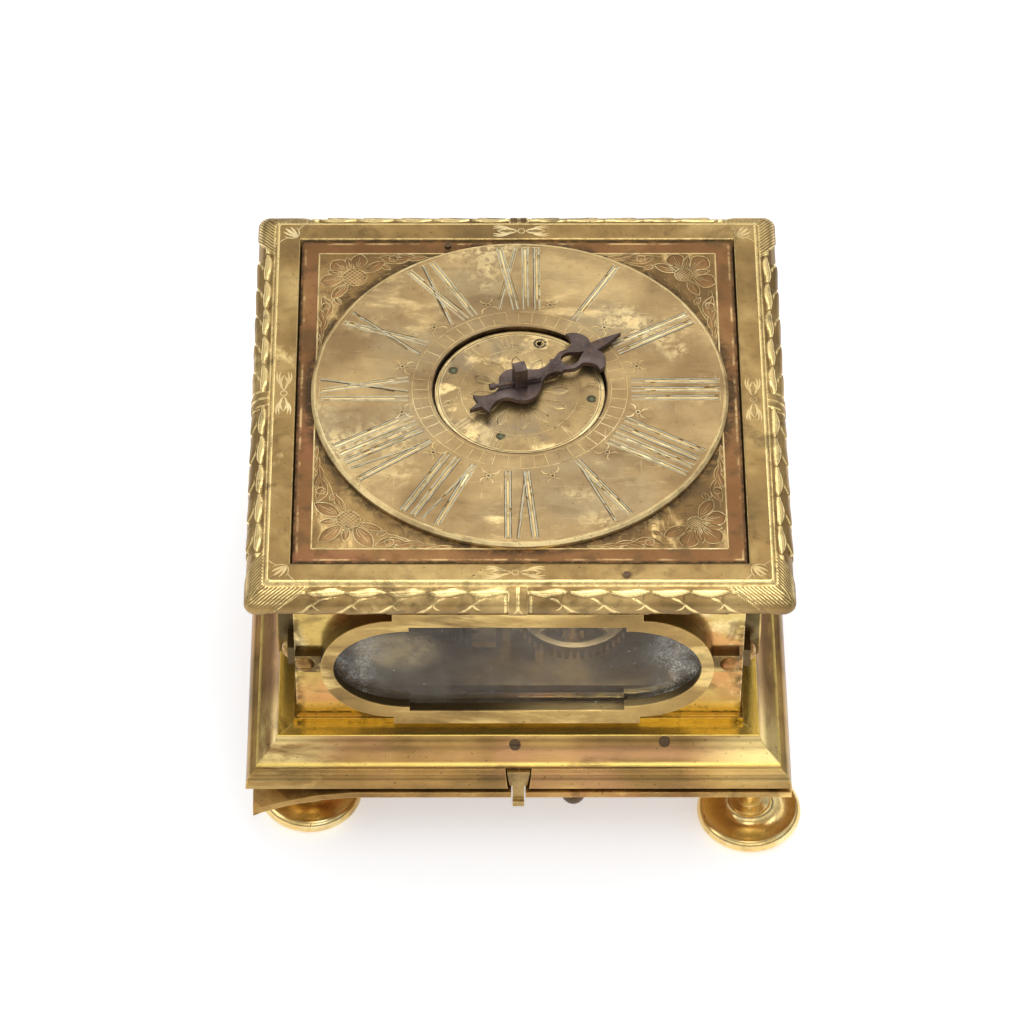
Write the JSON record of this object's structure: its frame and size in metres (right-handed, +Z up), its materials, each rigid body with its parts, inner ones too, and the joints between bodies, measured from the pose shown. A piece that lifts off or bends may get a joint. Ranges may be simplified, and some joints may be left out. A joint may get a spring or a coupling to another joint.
{
  "type": "horizontal table clock",
  "caption": "Square horizontal table clock: gilt brass case with glazed sides, hour dial on top with an iron hand, alarm disc, verge movement and a hinged base plate on turned feet.",
  "frame": {"origin": "centre of the bounding box on the plane the feet stand on", "axes": "+Z up out of the dial, +Y towards the XII and the hinge, -Y towards the catch, +X to the III"},
  "size_m": [0.1294, 0.1274, 0.0934],
  "materials": {
    "border": "worn matte gilt brass, engraved",
    "gilt": "polished fire-gilt brass",
    "moulding": "worn gilt brass with bright arrises",
    "dial": "coppery worn gilt plate, engraved",
    "ring": "worn gilt ring with silvered numerals",
    "disc": "coppery worn gilt disc, engraved",
    "iron": "dark wrought iron, brown patina",
    "pin": "old steel",
    "glass": "hazy old glass",
    "movement": "aged brass",
    "steel": "polished steel",
    "bell": "bell metal",
    "foot": "turned worn gilt brass",
    "gut": "gut line"
  },
  "bodies": {
    "case": {"dial_plate": "dial", "chapter_ring": "ring", "dial_pins": "steel", "base_screws": "moulding", "lower_plate": "movement", "upper_plate": "movement", "pillars": "movement", "potences": "movement", "balance_cock": "gilt", "gut_line": "gut", "bell": "bell", "bell_post": "steel", "hinge_leaf": "moulding", "hinge_pin": "steel", "border_front": "border", "moulding_front": "moulding", "wall_front": "gilt", "bezel_front": "gilt", "glass_front": "glass", "bezel_screws_front": "gilt", "border_right": "border", "moulding_right": "moulding", "wall_right": "gilt", "bezel_right": "gilt", "glass_right": "glass", "bezel_screws_right": "gilt", "border_back": "border", "moulding_back": "moulding", "wall_back": "gilt", "bezel_back": "gilt", "glass_back": "glass", "bezel_screws_back": "gilt", "border_left": "border", "moulding_left": "moulding", "wall_left": "gilt", "bezel_left": "gilt", "glass_left": "glass", "bezel_screws_left": "gilt"},
    "hour_hand": {"hand": "iron", "hand_pin": "pin", "hour_arbor": "iron", "hour_wheel": "movement"},
    "alarm": {"alarm_disc": "disc"},
    "going_fusee": {"fusee": "movement"},
    "going_barrel": {"spring_barrel": "movement"},
    "going_second": {"second_wheel": "movement"},
    "going_contrate": {"contrate_wheel": "movement"},
    "escape": {"crown_wheel": "movement"},
    "verge_balance": {"balance": "steel"},
    "striking_barrel": {"strike_wheel": "movement"},
    "striking_pins": {"pin_wheel": "movement"},
    "striking_fly": {"fly": "steel"},
    "hammer": {"strike_hammer": "steel"},
    "base": {"base_plate": "moulding", "plate_screw": "iron", "foot_front_left": "foot", "foot_front_right": "foot", "foot_back_left": "foot", "foot_back_right": "foot"},
    "latch": {"catch": "moulding"}
  },
  "joints": [
    {"name": "hand_turn", "type": "hinge", "parent": "case", "child": "hour_hand", "pos_m": [0.0003, 0.0012, 0.0866], "axis": [0, 0, 1], "continuous": true},
    {"name": "alarm_set", "type": "hinge", "parent": "case", "child": "alarm", "pos_m": [0.0003, 0.0012, 0.0842], "axis": [0, 0, 1], "continuous": true},
    {"name": "fusee_turn", "type": "hinge", "parent": "case", "child": "going_fusee", "pos_m": [-0.00896, -0.00983, 0.05], "axis": [0, 0, 1], "continuous": true},
    {"name": "barrel_turn", "type": "hinge", "parent": "case", "child": "going_barrel", "pos_m": [-0.028, 0.017, 0.05], "axis": [0, 0, 1], "continuous": true},
    {"name": "second_turn", "type": "hinge", "parent": "case", "child": "going_second", "pos_m": [0.00779, -0.01526, 0.05], "axis": [0, 0, 1], "continuous": true},
    {"name": "contrate_turn", "type": "hinge", "parent": "case", "child": "going_contrate", "pos_m": [0.0125, -0.0295, 0.048], "axis": [0, 0, 1], "continuous": true},
    {"name": "crown_turn", "type": "hinge", "parent": "case", "child": "escape", "pos_m": [0, -0.0295, 0.04293], "axis": [1, 0, 0], "continuous": true},
    {"name": "balance_swing", "type": "hinge", "parent": "case", "child": "verge_balance", "pos_m": [-0.0132, -0.0295, 0.03], "axis": [0, 0, 1], "range_deg": [-40, 40], "stiffness_Nm_per_rad": 0.00002},
    {"name": "strike_turn", "type": "hinge", "parent": "case", "child": "striking_barrel", "pos_m": [0.02, 0.024, 0.05], "axis": [0, 0, 1], "continuous": true},
    {"name": "pin_turn", "type": "hinge", "parent": "case", "child": "striking_pins", "pos_m": [0.0285, 0.00928, 0.057], "axis": [0, 0, 1], "continuous": true},
    {"name": "fly_turn", "type": "hinge", "parent": "case", "child": "striking_fly", "pos_m": [0.01666, 0.00497, 0.047], "axis": [0, 0, 1], "continuous": true},
    {"name": "hammer_swing", "type": "hinge", "parent": "case", "child": "hammer", "pos_m": [0.036, -0.014, 0.03], "axis": [0, 0, 1], "range_deg": [-15, 0], "stiffness_Nm_per_rad": 0.002},
    {"name": "base_open", "type": "hinge", "parent": "case", "child": "base", "pos_m": [0, 0.0624, 0.0199], "axis": [1, 0, 0], "range_deg": [0, 100]},
    {"name": "catch_press", "type": "slide", "parent": "case", "child": "latch", "axis": [0, -1, 0], "range_m": [0, 0.0014], "stiffness_N_per_m": 300}
  ],
  "couplings": [
    {"joint": "crown_turn", "follows": "contrate_turn", "ratio": 6},
    {"joint": "second_turn", "follows": "contrate_turn", "ratio": -0.15385},
    {"joint": "fusee_turn", "follows": "contrate_turn", "ratio": 0.021978},
    {"joint": "barrel_turn", "follows": "contrate_turn", "ratio": 0.021099},
    {"joint": "hand_turn", "follows": "contrate_turn", "ratio": -0.007326},
    {"joint": "strike_turn", "follows": "pin_turn", "ratio": -0.13333},
    {"joint": "fly_turn", "follows": "pin_turn", "ratio": -6}
  ]
}
